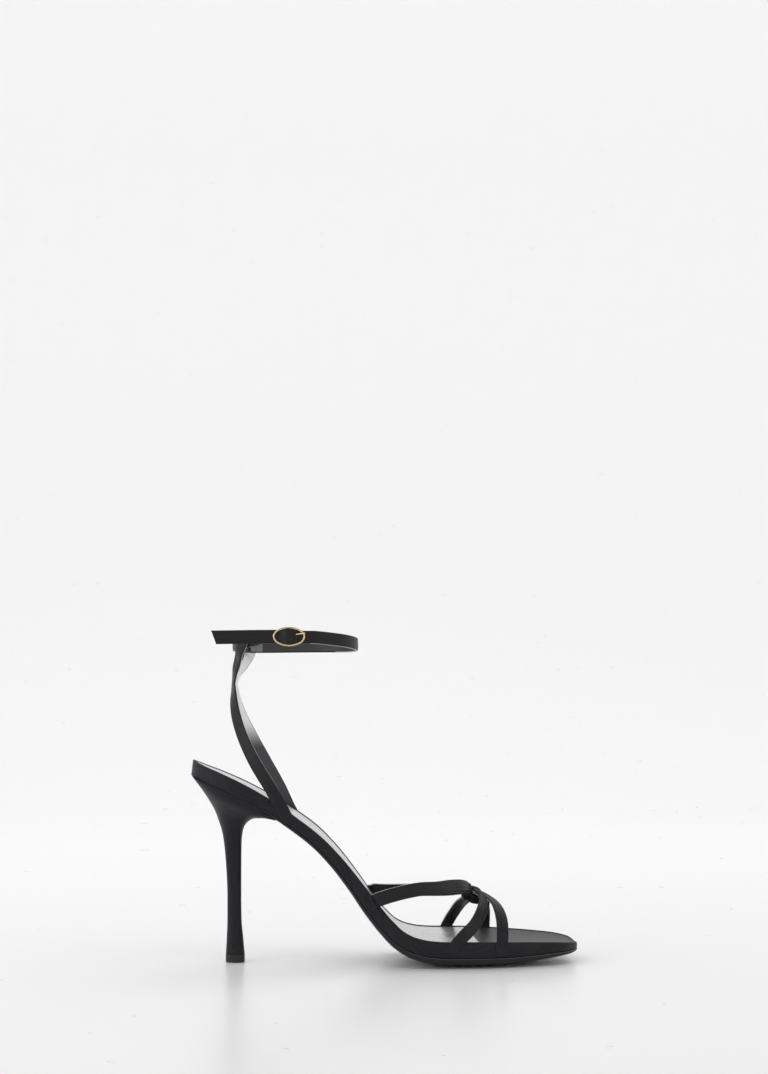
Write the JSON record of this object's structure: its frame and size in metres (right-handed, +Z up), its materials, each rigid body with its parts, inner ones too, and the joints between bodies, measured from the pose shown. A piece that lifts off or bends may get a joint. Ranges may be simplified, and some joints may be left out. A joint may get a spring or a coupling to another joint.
{
  "type": "strappy heeled sandal",
  "caption": "Women's evening sandal with a tall stiletto heel, crossed front straps gathered in a knot, a crossed heel strap and a buckled ankle strap.",
  "frame": {"origin": "on the floor, under the middle of the sandal's box in plan", "axes": "+X points to the toe, +Y to the inner side of this right foot, +Z up"},
  "size_m": [0.2148, 0.0792, 0.1849],
  "materials": {
    "black_satin": "satin weave",
    "silver_lining": "smooth silver-grey lining, glossy",
    "outsole_black": "smooth painted sole",
    "tip_rubber": "hard, matt",
    "gold": "polished gold plating"
  },
  "bodies": {
    "root": {"outsole": "outsole_black", "footbed": "black_satin", "sock_lining": "silver_lining", "toe_sock": "black_satin", "heel": "black_satin", "heel_tip": "tip_rubber", "vamp_straps": "black_satin", "heel_strap": "black_satin", "ankle_strap": "black_satin", "buckle_frame": "gold", "buckle_prong": "gold"}
  },
  "joints": []
}
